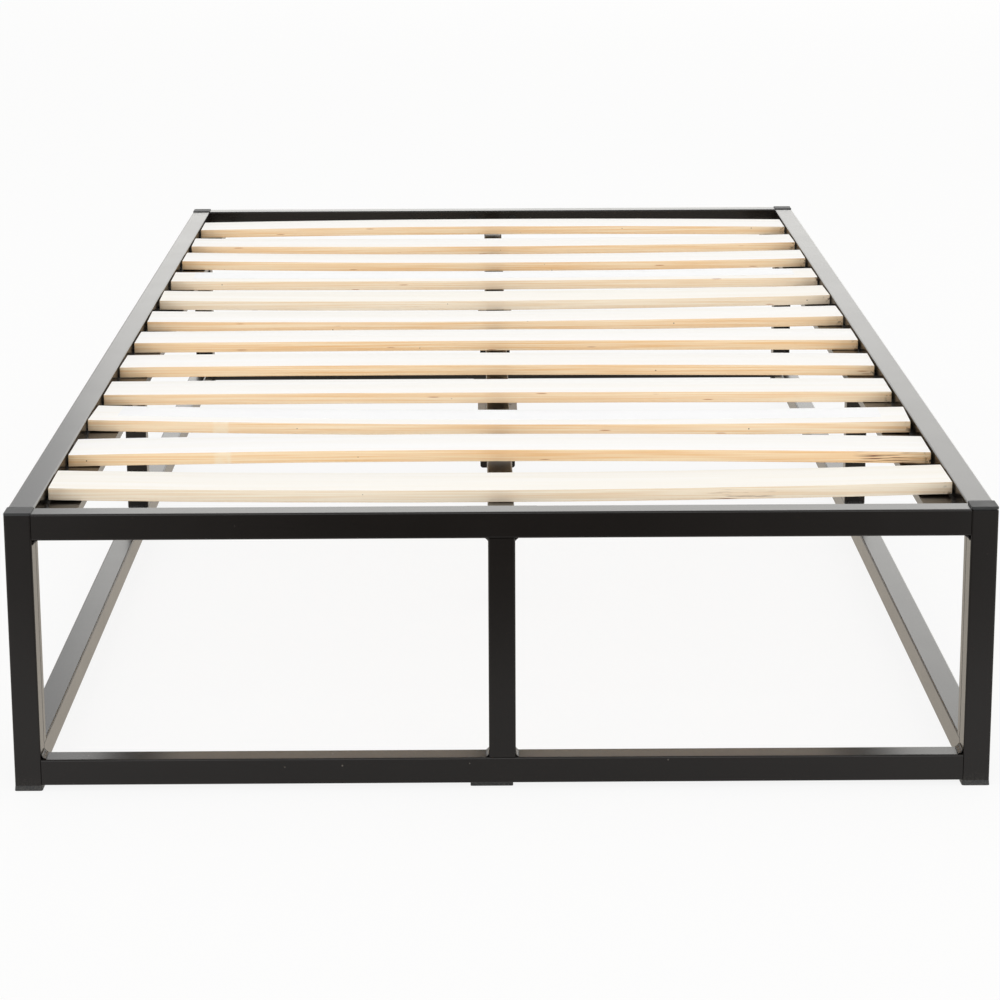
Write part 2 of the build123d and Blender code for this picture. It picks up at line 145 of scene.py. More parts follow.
def powder_coat():
    """Satin polyester powder on steel tube: warm black, with orange peel, and dust near the floor."""
    material, tree, shader = start_material("satin_powder_coat", {"IOR": 1.42})
    place = add_node(tree, "ShaderNodeTexCoord").outputs["Object"]
    mottle = add_node(tree, "ShaderNodeTexNoise", {"Vector": place, "Scale": per_metre(70), "Detail": 3.0})
    coat = add_node(tree, "ShaderNodeMix", {
        0: mottle.outputs[0], 6: linear("#110d0a"), 7: linear("#16120f")}, data_type="RGBA")
    dust = floor_dust(tree, place)
    dusty = add_node(tree, "ShaderNodeMix", {
        0: dust, 6: coat.outputs[2], 7: linear(DUST_COLOUR)}, data_type="RGBA")
    tree.links.new(dusty.outputs[2], shader.inputs["Base Color"])

    sheen = add_node(tree, "ShaderNodeMapRange", {
        "Value": mottle.outputs[0], "To Min": 0.18, "To Max": 0.24})
    matt = add_node(tree, "ShaderNodeMath", {
        0: dust, 1: 0.4, 2: sheen.outputs[0]}, operation="MULTIPLY_ADD")
    tree.links.new(matt.outputs[0], shader.inputs["Roughness"])
    # The waves of orange peel on powder are 1 to 10 mm long, and are drawn at 3 mm.
    peel = add_node(tree, "ShaderNodeTexNoise", {"Vector": place, "Scale": per_metre(3), "Detail": 2.0})
    bump = add_node(tree, "ShaderNodeBump", {
        "Height": peel.outputs[0], "Strength": 0.02, "Distance": 0.3 * MM})
    tree.links.new(bump.outputs[0], shader.inputs["Normal"])
    return material


POWDER_COAT = powder_coat()
print("made", POWDER_COAT.name)

# %% [markdown]
# ## Moulded plastic, blackened bolts and zinc-plated nuts
#
# The caps and feet are moulded polypropylene: a lighter black than the coat, and rougher, because the
# mould was spark-eroded. The bolts are steel with a black oxide, a thin dark film that stays metallic.
# The rivet nuts are zinc-plated, with the cloudy, faintly yellow shine of that plating. The two metals
# differ only in tone, shine and the size of their clouds, so one function makes both.

# %% Plastic, bolt and nut materials
def moulded_plastic():
    """Polypropylene from a spark-eroded mould: dark grey and matt, with a fine even grain."""
    material, tree, shader = start_material("moulded_polypropylene", {"IOR": 1.49})
    place = add_node(tree, "ShaderNodeTexCoord").outputs["Object"]
    cloud = add_node(tree, "ShaderNodeTexNoise", {"Vector": place, "Scale": per_metre(12), "Detail": 4.0})
    shade = add_node(tree, "ShaderNodeMix", {
        0: cloud.outputs[0], 6: linear("#1f2021"), 7: linear("#303131")}, data_type="RGBA")
    height = add_node(tree, "ShaderNodeSeparateXYZ", {0: place}).outputs[2]
    low = add_node(tree, "ShaderNodeMapRange", {
        "Value": height, "From Min": 0.0, "From Max": 9 * MM, "To Min": 0.18, "To Max": 0.0})
    grit = add_node(tree, "ShaderNodeTexNoise", {"Vector": place, "Scale": per_metre(1.6), "Detail": 3.0})
    patches = add_node(tree, "ShaderNodeMapRange", {
        "Value": grit.outputs[0], "From Min": 0.45, "From Max": 0.65})
    dust = add_node(tree, "ShaderNodeMath", {
        0: low.outputs[0], 1: patches.outputs[0]}, operation="MULTIPLY")
    dusty = add_node(tree, "ShaderNodeMix", {
        0: dust.outputs[0], 6: shade.outputs[2], 7: linear(DUST_COLOUR)}, data_type="RGBA")
    tree.links.new(dusty.outputs[2], shader.inputs["Base Color"])
    rough = add_node(tree, "ShaderNodeMapRange", {
        "Value": cloud.outputs[0], "To Min": 0.45, "To Max": 0.6})
    tree.links.new(rough.outputs[0], shader.inputs["Roughness"])
    # Spark erosion leaves pits of a tenth of a millimetre, drawn ten times as coarse.
    grain = add_node(tree, "ShaderNodeTexNoise", {"Vector": place, "Scale": per_metre(1), "Detail": 1.0})
    bump = add_node(tree, "ShaderNodeBump", {
        "Height": grain.outputs[0], "Strength": 0.2, "Distance": 0.2 * MM})
    tree.links.new(bump.outputs[0], shader.inputs["Normal"])
    return material


def plated_steel(name, dark, light, cloud_size, rough_low, rough_high):
    """A thin metallic film on steel, whose tone and shine drift in clouds."""
    material, tree, shader = start_material(name, {"Metallic": 1.0})
    place = add_node(tree, "ShaderNodeTexCoord").outputs["Object"]
    cloud = add_node(tree, "ShaderNodeTexNoise", {
        "Vector": place, "Scale": per_metre(cloud_size), "Detail": 4.0})
    tone = add_node(tree, "ShaderNodeMix", {
        0: cloud.outputs[0], 6: linear(dark), 7: linear(light)}, data_type="RGBA")
    tree.links.new(tone.outputs[2], shader.inputs["Base Color"])
    rough = add_node(tree, "ShaderNodeMapRange", {
        "Value": cloud.outputs[0], "To Min": rough_low, "To Max": rough_high})
    tree.links.new(rough.outputs[0], shader.inputs["Roughness"])
    return material


PLASTIC = moulded_plastic()
BLACK_OXIDE = plated_steel("black_oxide_steel", "#262627", "#3a3a3b", 4, 0.32, 0.45)
ZINC = plated_steel("zinc_plated_steel", "#a9adaf", "#cfcdbf", 5, 0.22, 0.4)
print("made", PLASTIC.name, BLACK_OXIDE.name, ZINC.name)

# %% [markdown]
# ## Dress the steelwork
#
# The tubes, plates, caps and bolts have their right shape already, so they stay as they are and only get
# their finish. The record says which finish each node has, so the choice follows it and not a list of
# names. What is modelled again further on, the timber and the tapes, is skipped here.

# %% Give each node its material
FINISHES = {
    "black_powder_coat": POWDER_COAT, "black_plastic": PLASTIC,
    "black_bolt_steel": BLACK_OXIDE, "zinc_steel": ZINC,
}


def dress(node, material):
    """Gives every face of a node one material."""
    mesh = frame["nodes"][node].data
    mesh.materials.clear()
    mesh.materials.append(material)


dressed = [part for part in frame["record"]["subparts"] if part["material_slot"] in FINISHES]
for part in dressed:
    dress(part["node"], FINISHES[part["material_slot"]])
print("dressed", len(dressed), "nodes")

# %% [markdown]
# ## How each slat lies
#
# The slats are loose. None is quite straight, and each lies a little askew, so no two are alike. The
# packed slats hold all that already. Measuring them keeps this script free of copied numbers: the two
# end faces give the width, the thickness and the turn, and the height of the whole gives the bow.

# %% Measure a slat or a tape
END_DEPTH = 3 * MM


def measure(node):
    """The size, middle, turn and bow of a long thin node that lies across the bed."""
    low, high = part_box(node)
    points = [vertex.co for vertex in frame["nodes"][node].data.vertices]
    left = [point for point in points if point.x < low.x + END_DEPTH]
    right = [point for point in points if point.x > high.x - END_DEPTH]
    left_y = (min(point.y for point in left) + max(point.y for point in left)) / 2
    right_y = (min(point.y for point in right) + max(point.y for point in right)) / 2
    end_low = min(point.z for point in left)
    end_high = max(point.z for point in left)
    thick = end_high - end_low
    rise = (high.z - low.z) - thick
    sags = end_high > high.z - rise / 2
    turn = math.atan2(right_y - left_y, high.x - low.x)
    width = max(point.y for point in left) - min(point.y for point in left)
    length = (high.x - low.x) / math.cos(turn) - width * abs(math.sin(turn))
    middle = Vector(((low.x + high.x) / 2, (left_y + right_y) / 2, (end_low + end_high) / 2))
    return {"length": length, "width": width, "thick": thick, "turn": turn,
            "bow": -rise if sags else rise, "middle": middle}


SLATS = sorted(node for node in frame["nodes"] if node.startswith("slat_") and "tape" not in node)
TAPES = sorted(node for node in frame["nodes"] if node.endswith("_tape"))
for node in SLATS:
    lie = measure(node)
    bow, turn = lie["bow"] / MM, math.degrees(lie["turn"])
    print(f"{node} has a bow of {bow:.1f} mm and a turn of {turn:.2f} degrees")

# %% [markdown]
# ## A plank, cut and bowed ring by ring
#
# A slat is sawn, planed and cut to length, and its sharp corners are eased a little. A cube is stretched
# to that size, its edges are bevelled, and its long edges are cut into rings. Then each ring is lifted to
# follow the bow and nudged by a fraction of a millimetre, as timber never stays true. A bend modifier
# could bow it too, but rings can also carry those small errors.

# %% Plank helpers
def select_edges(piece, wanted):
    """In edit mode, selects only the edges that pass the test."""
    bpy.ops.mesh.select_mode(type="EDGE")
    bpy.ops.mesh.select_all(action="DESELECT")
    mesh = bmesh.from_edit_mesh(piece.data)
    for edge in mesh.edges:
        if wanted(edge):
            edge.select_set(True)
    bmesh.update_edit_mesh(piece.data)


def select_points(piece, wanted):
    """In edit mode, selects only the vertices that pass the test."""
    bpy.ops.mesh.select_mode(type="VERT")
    bpy.ops.mesh.select_all(action="DESELECT")
    mesh = bmesh.from_edit_mesh(piece.data)
    for vertex in mesh.verts:
        if wanted(vertex.co):
            vertex.select_set(True)
    bmesh.update_edit_mesh(piece.data)


def block(name, size, middle=(0, 0, 0)):
    """A box of the given size, alone selected and active."""
    bpy.ops.object.select_all(action="DESELECT")
    bpy.ops.mesh.primitive_cube_add(size=1, location=middle)
    piece = bpy.context.object
    piece.name = name
    piece.scale = size
    bpy.ops.object.transform_apply(location=True, rotation=True, scale=True)
    return piece


RING_STEP = 0.02 * MM
PLANK_CUTS = 23
# Past this share of half its length a plank isn't nudged, so its ends stay true
TRUE_END = 0.97
SMOOTH_BELOW = math.radians(30)


def ring_places(piece, axis):
    """In edit mode, the places along an axis, 0 to 2, at which a piece has a ring of points."""
    mesh = bmesh.from_edit_mesh(piece.data)
    places = sorted(vertex.co[axis] for vertex in mesh.verts)
    return [place for before, place in zip([-math.inf] + places, places) if place - before > RING_STEP]


def plank(name, lie, easing, wander, seed):
    """A plank that lies as measured, with eased edges and small errors along its length."""
    piece = block(name, (lie["length"], lie["width"], lie["thick"]))
    bpy.ops.object.mode_set(mode="EDIT")
    bpy.ops.mesh.select_all(action="SELECT")
    bpy.ops.mesh.bevel(offset=easing, segments=2, affect="EDGES")
    select_edges(piece, lambda edge: edge.calc_length() > lie["length"] / 2)
    bpy.ops.mesh.subdivide(number_cuts=PLANK_CUTS)
    draw = random.Random(seed)
    for x in ring_places(piece, 0):
        along = 2 * x / lie["length"]
        lift = lie["bow"] * (1 - along ** 2)
        nudge = draw.uniform(-wander, wander) if abs(along) < TRUE_END else 0
        select_points(piece, lambda point: abs(point.x - x) < RING_STEP / 2)
        bpy.ops.transform.translate(value=(0, nudge, lift))
    bpy.ops.object.mode_set(mode="OBJECT")
    piece.location = lie["middle"]
    piece.rotation_euler.z = lie["turn"]
    bpy.ops.object.transform_apply(location=True, rotation=True, scale=True)
    bpy.ops.object.shade_smooth_by_angle(angle=SMOOTH_BELOW)
    return piece


print("a plank is cut into", PLANK_CUTS + 1, "stretches")

# %% [markdown]
# ## Pale poplar: faces, edges and ends
#
# The slats are sanded poplar, with no varnish. Their flat faces are sawn along the rings, so they are
# almost white with faint long flames. Their narrow edges cut across the rings, so there the grain shows
# as close tan lines, with a dark speck or streak here and there. The ends are rougher and darker.
# Each gets its own material, because one timber texture through the whole block would give the faces
# as many lines as the edges. Each slat carries numbers on its points, which the materials read as
# attributes: its own tint, and where its edge has a pale patch or the veins of a knot.

# %% Timber materials
TINT, PATCH, KNOT = "tint", "patch", "knot"


def slat_face():
    """Sanded poplar sawn along the rings: cream-white and matt, with faint long flames."""
    material, tree, shader = start_material("poplar_face", {"Roughness": 0.7, "IOR": 1.42})
    place = add_node(tree, "ShaderNodeTexCoord").outputs["Object"]
    long_way = add_node(tree, "ShaderNodeMapping", {
        "Vector": place, "Scale": (per_metre(420), per_metre(14), per_metre(60))})
    flame = add_node(tree, "ShaderNodeTexNoise", {
        "Vector": long_way.outputs[0], "Scale": 1.0, "Detail": 4.0, "Distortion": 0.6})
    # Poplar's pores are a tenth of a millimetre wide, too fine to show here, so they are drawn at 1.6 mm.
    pore_way = add_node(tree, "ShaderNodeMapping", {
        "Vector": place, "Scale": (per_metre(60), per_metre(1.6), per_metre(20))})
    pores = add_node(tree, "ShaderNodeTexNoise", {
        "Vector": pore_way.outputs[0], "Scale": 1.0, "Detail": 2.0})
    grain = add_node(tree, "ShaderNodeMath", {
        0: pores.outputs[0], 1: 0.35, 2: flame.outputs[0]}, operation="MULTIPLY_ADD")
    shown = add_node(tree, "ShaderNodeMapRange", {
        "Value": grain.outputs[0], "From Min": 0.5, "From Max": 0.95})
    tint = add_node(tree, "ShaderNodeAttribute", attribute_name=TINT).outputs["Fac"]
    pale = add_node(tree, "ShaderNodeMix", {
        0: tint, 6: linear("#fdfaf4"), 7: linear("#fdfcfb")}, data_type="RGBA")
    deep = add_node(tree, "ShaderNodeMix", {
        0: tint, 6: linear("#f9f3e7"), 7: linear("#fbf8f2")}, data_type="RGBA")
    timber = add_node(tree, "ShaderNodeMix", {
        0: shown.outputs[0], 6: pale.outputs[2], 7: deep.outputs[2]}, data_type="RGBA")
    tree.links.new(timber.outputs[2], shader.inputs["Base Color"])
    bump = add_node(tree, "ShaderNodeBump", {
        "Height": pores.outputs[0], "Strength": 0.08, "Distance": 0.3 * MM})
    tree.links.new(bump.outputs[0], shader.inputs["Normal"])
    return material


def rare_marks(tree, place, spacing, size, share):
    """A mask of single marks: one in each cell of the spacing, of which only a share is kept."""
    way = add_node(tree, "ShaderNodeMapping", {
        "Vector": place, "Scale": [per_metre(step) for step in spacing]})
    cells = add_node(tree, "ShaderNodeTexVoronoi", {"Vector": way.outputs[0], "Scale": 1.0})
    core = add_node(tree, "ShaderNodeMapRange", {
        "Value": cells.outputs["Distance"], "From Min": 0.6 * size, "From Max": size,
        "To Min": 1.0, "To Max": 0.0})
    chance = add_node(tree, "ShaderNodeSeparateColor", {0: cells.outputs["Color"]}).outputs[0]
    kept = add_node(tree, "ShaderNodeMath", {0: chance, 1: 1 - share}, operation="GREATER_THAN")
    return add_node(tree, "ShaderNodeMath", {
        0: core.outputs[0], 1: kept.outputs[0]}, operation="MULTIPLY").outputs[0]


def beside(tree, across, name, inner, outer, fade):
    """A mask round the place that a number on the slat gives: full within inner, gone past outer."""
    centre = add_node(tree, "ShaderNodeAttribute", attribute_name=name).outputs["Fac"]
    aside = add_node(tree, "ShaderNodeMath", {0: across, 1: centre}, operation="SUBTRACT")
    apart = add_node(tree, "ShaderNodeMath", {0: aside.outputs[0]}, operation="ABSOLUTE")
    return add_node(tree, "ShaderNodeMapRange", {
        "Value": apart.outputs[0], "From Min": inner, "From Max": outer, "To Min": 1.0, "To Max": 0.0},
        interpolation_type=fade).outputs[0]


def edge_grain(tree, place):
    """The tan timber of an edge, from pale to deep along its grain, and the lines of that grain."""
    line_way = add_node(tree, "ShaderNodeMapping", {
        "Vector": place, "Scale": (per_metre(300), per_metre(45), per_metre(1.7))})
    lines = add_node(tree, "ShaderNodeTexNoise", {
        "Vector": line_way.outputs[0], "Scale": 1.0, "Detail": 4.0, "Distortion": 0.25})
    # A single fibre is far thinner than a millimetre, so fibres are drawn in bundles of 0.9 mm.
    fibre_way = add_node(tree, "ShaderNodeMapping", {
        "Vector": place, "Scale": (per_metre(120), per_metre(45), per_metre(0.9))})
    fibres = add_node(tree, "ShaderNodeTexNoise", {
        "Vector": fibre_way.outputs[0], "Scale": 1.0, "Detail": 2.0})
    grain = add_node(tree, "ShaderNodeMix", {0: 0.6, 2: lines.outputs[0], 3: fibres.outputs[0]})
    shown = add_node(tree, "ShaderNodeMapRange", {
        "Value": grain.outputs[0], "From Min": 0.41, "From Max": 0.61})
    tint = add_node(tree, "ShaderNodeAttribute", attribute_name=TINT).outputs["Fac"]
    pale = add_node(tree, "ShaderNodeMix", {
        0: tint, 6: linear("#faeed9"), 7: linear("#fbe3be")}, data_type="RGBA")
    deep = add_node(tree, "ShaderNodeMix", {
        0: tint, 6: linear("#efd7b7"), 7: linear("#f0c189")}, data_type="RGBA")
    timber = add_node(tree, "ShaderNodeMix", {
        0: shown.outputs[0], 6: pale.outputs[2], 7: deep.outputs[2]}, data_type="RGBA")
    return timber.outputs[2], lines.outputs[0]


# Distances along a slat from the middle of the bed. Its ends lie at 428 mm.
SOILED_FROM, SOILED_TO = 405 * MM, 428 * MM
FRAYED_FROM, FRAYED_TO = 419 * MM, 427 * MM
# The last two bound a painted shade on the edges over the centre rail, where the rail beneath shades them
SHADE_FULL_TO, SHADE_ENDS = 8 * MM, 24 * MM


def edge_wear_and_shade(tree, place, across, timber):
    """Adds the wear, a pale patch, soiled ends and a frayed right end, and a painted shade over the centre
    rail.
    """
    within = beside(tree, across, PATCH, 6 * MM, 10 * MM, "SMOOTHSTEP")
    haze = add_node(tree, "ShaderNodeTexNoise", {"Vector": place, "Scale": per_metre(8), "Detail": 2.0})
    spared = add_node(tree, "ShaderNodeMath", {0: within, 1: haze.outputs[0]}, operation="MULTIPLY")
    patched = add_node(tree, "ShaderNodeMix", {
        0: spared.outputs[0], 6: timber, 7: linear("#faecd2")}, data_type="RGBA")

    out = add_node(tree, "ShaderNodeMath", {0: across}, operation="ABSOLUTE")
    near_end = add_node(tree, "ShaderNodeMapRange", {
        "Value": out.outputs[0], "From Min": SOILED_FROM, "From Max": SOILED_TO,
        "To Min": 0.0, "To Max": 0.6})
    # One noise breaks up both the real grime at the ends and the painted shade over the centre rail
    grime_and_shade = add_node(tree, "ShaderNodeTexNoise", {"Vector": place, "Scale": per_metre(14), "Detail": 4.0})
    soiled = add_node(tree, "ShaderNodeMath", {
        0: near_end.outputs[0], 1: grime_and_shade.outputs[0]}, operation="MULTIPLY")
    handled = add_node(tree, "ShaderNodeMix", {
        0: soiled.outputs[0], 6: patched.outputs[2], 7: linear("#86663f")}, data_type="RGBA")

    at_end = add_node(tree, "ShaderNodeMapRange", {
        "Value": across, "From Min": FRAYED_FROM, "From Max": FRAYED_TO})
    splinters = add_node(tree, "ShaderNodeTexNoise", {
        "Vector": place, "Scale": per_metre(4), "Detail": 3.0})
    torn = add_node(tree, "ShaderNodeMapRange", {
        "Value": splinters.outputs[0], "From Min": 0.52, "From Max": 0.64})
    frayed = add_node(tree, "ShaderNodeMath", {
        0: at_end.outputs[0], 1: torn.outputs[0]}, operation="MULTIPLY")
    worn = add_node(tree, "ShaderNodeMix", {
        0: frayed.outputs[0], 6: handled.outputs[2], 7: linear("#4d3826")}, data_type="RGBA")

    # Painted shade: the edge is darker and warmer over the centre rail, where the rail beneath shades it
    near_rail = add_node(tree, "ShaderNodeMapRange", {
        "Value": out.outputs[0], "From Min": SHADE_FULL_TO, "From Max": SHADE_ENDS,
        "To Min": 0.15, "To Max": 0.0}, interpolation_type="SMOOTHSTEP")
    rail_shade = add_node(tree, "ShaderNodeMath", {
        0: near_rail.outputs[0], 1: grime_and_shade.outputs[0]}, operation="MULTIPLY")
    return add_node(tree, "ShaderNodeMix", {
        0: rail_shade.outputs[0], 6: worn.outputs[2], 7: linear("#b5793f")}, data_type="RGBA").outputs[2]


def edge_marks(tree, place, across, timber):
    """Adds what grew in the timber: reddish streaks, dark veins beside a knot, and a few dark specks."""
    streaks = rare_marks(tree, place, spacing=(60, 30, 4), size=0.13, share=0.26)
    streaked = add_node(tree, "ShaderNodeMix", {
        0: streaks, 6: timber, 7: linear("#b3764f")}, data_type="RGBA")

    by_knot = beside(tree, across, KNOT, 14 * MM, 34 * MM, "LINEAR")
    vein_way = add_node(tree, "ShaderNodeMapping", {
        "Vector": place, "Scale": (per_metre(50), per_metre(40), per_metre(1.7))})
    bark = add_node(tree, "ShaderNodeTexNoise", {
        "Vector": vein_way.outputs[0], "Scale": 1.0, "Detail": 3.0})
    dark = add_node(tree, "ShaderNodeMapRange", {
        "Value": bark.outputs[0], "From Min": 0.53, "From Max": 0.62})
    veins = add_node(tree, "ShaderNodeMath", {0: by_knot, 1: dark.outputs[0]}, operation="MULTIPLY")
    veined = add_node(tree, "ShaderNodeMix", {
        0: veins.outputs[0], 6: streaked.outputs[2], 7: linear("#7f543c")}, data_type="RGBA")

    specks = rare_marks(tree, place, spacing=(10, 30, 9), size=0.085, share=0.08)
    return add_node(tree, "ShaderNodeMix", {
        0: specks, 6: veined.outputs[2], 7: linear("#3d2719")}, data_type="RGBA").outputs[2]


def slat_edge():
    """Poplar sawn across the rings: tan, with close lines, grain marks, wear and a painted shade by the
    rail.
    """
    material, tree, shader = start_material("poplar_edge", {"Roughness": 0.75, "IOR": 1.42})
    place = add_node(tree, "ShaderNodeTexCoord").outputs["Object"]
    across = add_node(tree, "ShaderNodeSeparateXYZ", {0: place}).outputs[0]
    timber, lines = edge_grain(tree, place)
    # The wear, and the painted shade over the centre rail
    worn = edge_wear_and_shade(tree, place, across, timber)
    marked = edge_marks(tree, place, across, worn)
    tree.links.new(marked, shader.inputs["Base Color"])
    bump = add_node(tree, "ShaderNodeBump", {
        "Height": lines, "Strength": 0.12, "Distance": 0.4 * MM})
    tree.links.new(bump.outputs[0], shader.inputs["Normal"])
    return material


def slat_end():
    """Poplar end grain: rough, darker and speckled with pores."""
    material, tree, shader = start_material("poplar_end_grain", {"Roughness": 0.85, "IOR": 1.45})
    place = add_node(tree, "ShaderNodeTexCoord").outputs["Object"]
    rings = add_node(tree, "ShaderNodeTexNoise", {"Vector": place, "Scale": per_metre(5), "Detail": 5.0})
    timber = add_node(tree, "ShaderNodeMix", {
        0: rings.outputs[0], 6: linear("#e3cca4"), 7: linear("#c9a877")}, data_type="RGBA")
    tree.links.new(timber.outputs[2], shader.inputs["Base Color"])
    bump = add_node(tree, "ShaderNodeBump", {
        "Height": rings.outputs[0], "Strength": 0.3, "Distance": 0.5 * MM})
    tree.links.new(bump.outputs[0], shader.inputs["Normal"])
    return material


TIMBER = [slat_face(), slat_edge(), slat_end()]
print("made", ", ".join(material.name for material in TIMBER))

# %% [markdown]
# ## The twelve slats
#
# Every face that looks up is a sanded face, every face that looks along the slat is an end, and the rest,
# with the eased corners and the tan underside that nobody sands, take the timber of the edges. A number
# on each slat's points carries its own tint, from 0 for a pale edge to 1 for a warm one, so that one timber
# gives twelve slightly different boards. Most are warm, and three are set paler. Two more numbers say how
# far from the bed's middle an edge has a short paler patch, and where dark veins run beside a knot. A slat
# that has none gets a place far outside the bed.

# %% Make the slats
FACE, EDGE, END = range(3)
# A face looks up, or along the slat, where its normal goes at least this far that way
FACING = 0.9
SLAT_EASING, SLAT_WANDER = 0.8 * MM, 0.25 * MM
LEAST_WARM, MOST_WARM = 0.6, 1.0
PALE_SLATS = {"slat_01": 0.0, "slat_08": 0.0, "slat_09": 0.35}
PATCH_PLACES = {"slat_02": -275 * MM, "slat_03": -290 * MM}
KNOT_PLACES = {"slat_01": 228 * MM, "slat_02": 383 * MM}
NOWHERE = 9.0


def side_of(normal):
    """Which of the three cuts a face of a slat is."""
    if normal.z > FACING:
        return FACE
    return END if abs(normal.x) > FACING else EDGE


def make_slat(node, seed):
    """One timber slat in the place of its node."""
    slat = plank(f"{node}_timber", measure(node), SLAT_EASING, SLAT_WANDER, seed)
    for material in TIMBER:
        slat.data.materials.append(material)
    for face in slat.data.polygons:
        face.material_index = side_of(face.normal)
    warmth = random.Random(seed).uniform(LEAST_WARM, MOST_WARM)
    carried = {
        TINT: PALE_SLATS.get(node, warmth),
        PATCH: PATCH_PLACES.get(node, NOWHERE),
        KNOT: KNOT_PLACES.get(node, NOWHERE),
    }
    for name, value in carried.items():
        numbers = slat.data.attributes.new(name, "FLOAT", "POINT")
        numbers.data.foreach_set("value", [value] * len(slat.data.vertices))
    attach(slat, node)
    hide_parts(node)
    return slat


slats = [make_slat(node, number) for number, node in enumerate(SLATS, start=1)]
print(len(slats), "slats of", len(slats[0].data.polygons), "faces")

# %% [markdown]
# ## The tapes on two slats
#
# Two slats carry a flat white tape along their tops, with a matt paper liner. It is a plank too, only
# 0.4 mm thick, so the same function makes it, with hardly any easing.

# %% Make the tapes
def tape_liner():
    """A matt white paper liner: cool white, with a faint crease here and there."""
    material, tree, shader = start_material("paper_liner", {"Roughness": 0.55, "IOR": 1.45})
    place = add_node(tree, "ShaderNodeTexCoord").outputs["Object"]
    pull = add_node(tree, "ShaderNodeMapping", {
        "Vector": place, "Scale": (per_metre(30), per_metre(80), per_metre(80))})
    crease = add_node(tree, "ShaderNodeTexNoise", {"Vector": pull.outputs[0], "Scale": 1.0, "Detail": 3.0})
    paper = add_node(tree, "ShaderNodeMix", {
        0: crease.outputs[0], 6: linear("#fafafa"), 7: linear("#f5f5f6")}, data_type="RGBA")
    tree.links.new(paper.outputs[2], shader.inputs["Base Color"])
    bump = add_node(tree, "ShaderNodeBump", {
        "Height": crease.outputs[0], "Strength": 0.15, "Distance": 0.6 * MM})
    tree.links.new(bump.outputs[0], shader.inputs["Normal"])
    return material


LINER = tape_liner()
TAPE_EASING, TAPE_WANDER = 0.1 * MM, 0.2 * MM
FIRST_TAPE_SEED = 101
for seed, node in enumerate(TAPES, start=FIRST_TAPE_SEED):
    tape = plank(f"{node}_liner", measure(node), TAPE_EASING, TAPE_WANDER, seed)
    tape.data.materials.append(LINER)
    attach(tape, node.removesuffix("_tape"))
    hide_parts(node)
    print("laid", tape.name)

# %% [markdown]
# ## Weld beads
#
# Each inner corner of the frames is closed by a bead of weld metal, coated with the rest. A bead is a
# wedge with a hollow face, a row of small overlapping puddles that were drawn up both walls. It could be
# swept along a curve, but a curve gives no puddles. So one wedge is cut from a block, its slope is divided,
# sunk and rippled ring by ring, and a subdivision surface rounds it.

# %% Model one bead
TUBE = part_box("foot_bottom_rail")[1].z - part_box("foot_bottom_rail")[0].z
BEAD_LEG = 6.0 * MM
BEAD_LENGTH = 0.84 * TUBE
BEAD_HOLLOW = 1.2 * MM
PUDDLE = 2.6 * MM
RIPPLE = 0.25 * MM
LENGTH_CUTS, SLOPE_CUTS = 15, 3
BEAD_SEED = 7
SLOPE = Vector((1, 0, 1)).normalized()
# Points closer than the first are the same, and ways with a smaller cosine than the second are square
SAME, SQUARE = 0.01 * MM, 0.01


def runs_along(edge):
    """Whether an edge of the wedge runs along the weld."""
    start, end = (corner.co for corner in edge.verts)
    return abs(start.y - end.y) > BEAD_LENGTH / 2


def runs_down(edge):
    """Whether an edge of the wedge runs down its slope, from one wall to the other."""
    start, end = (corner.co for corner in edge.verts)
    return abs((end - start).normalized() @ SLOPE) < SQUARE and abs(start.y - end.y) < SAME


def one_bead():
    """A bead in the corner of X and Z at the origin, running along Y."""
    middle = (BEAD_LEG / 2, 0, BEAD_LEG / 2)
    bead = block("weld_bead", (BEAD_LEG, BEAD_LENGTH, BEAD_LEG), middle)
    bpy.ops.object.mode_set(mode="EDIT")
    bpy.ops.mesh.select_all(action="SELECT")
    bpy.ops.mesh.bisect(plane_co=middle, plane_no=SLOPE, use_fill=True, clear_outer=True)
    bpy.ops.mesh.select_all(action="SELECT")
    bpy.ops.mesh.remove_doubles(threshold=SAME)
    select_edges(bead, runs_along)
    bpy.ops.mesh.subdivide(number_cuts=LENGTH_CUTS)
    select_edges(bead, runs_down)
    bpy.ops.mesh.subdivide(number_cuts=SLOPE_CUTS)
    draw = random.Random(BEAD_SEED)
    for y in ring_places(bead, 1):
        ripple = (math.cos(2 * math.pi * y / PUDDLE) + draw.uniform(-0.4, 0.6)) * RIPPLE
        for cut in range(1, SLOPE_CUTS + 1):
            share = cut / (SLOPE_CUTS + 1)
            sunk = BEAD_HOLLOW * 4 * share * (1 - share)
            foot = Vector((share * BEAD_LEG, y, (1 - share) * BEAD_LEG))
            select_points(bead, lambda point: (point - foot).length < 10 * SAME)
            bpy.ops.transform.translate(value=SLOPE * (ripple - sunk))
    bpy.ops.object.mode_set(mode="OBJECT")
    rounding = bead.modifiers.new("rounding", "SUBSURF")
    rounding.levels = rounding.render_levels = 1
    bpy.ops.object.modifier_apply(modifier="rounding")
    return bead


master_bead = one_bead()
print("one bead has", len(master_bead.data.polygons), "faces")

# %% [markdown]
# ## A bead in every corner
#
# The corners are found from the boxes of the tubes, so the beads follow the frame. Copies of the one bead
# are turned into them, each with its own mesh, and are then joined to one piece. A mirrored copy is inside
# out, so the normals are made consistent at the end. The beads at the corner posts are the largest.

# %% Put a bead in every corner
CORNER_BEAD, MID_BEAD, CENTRE_BEAD = 1.0, 0.75, 0.6
SMALLEST, LARGEST = 0.92, 1.08


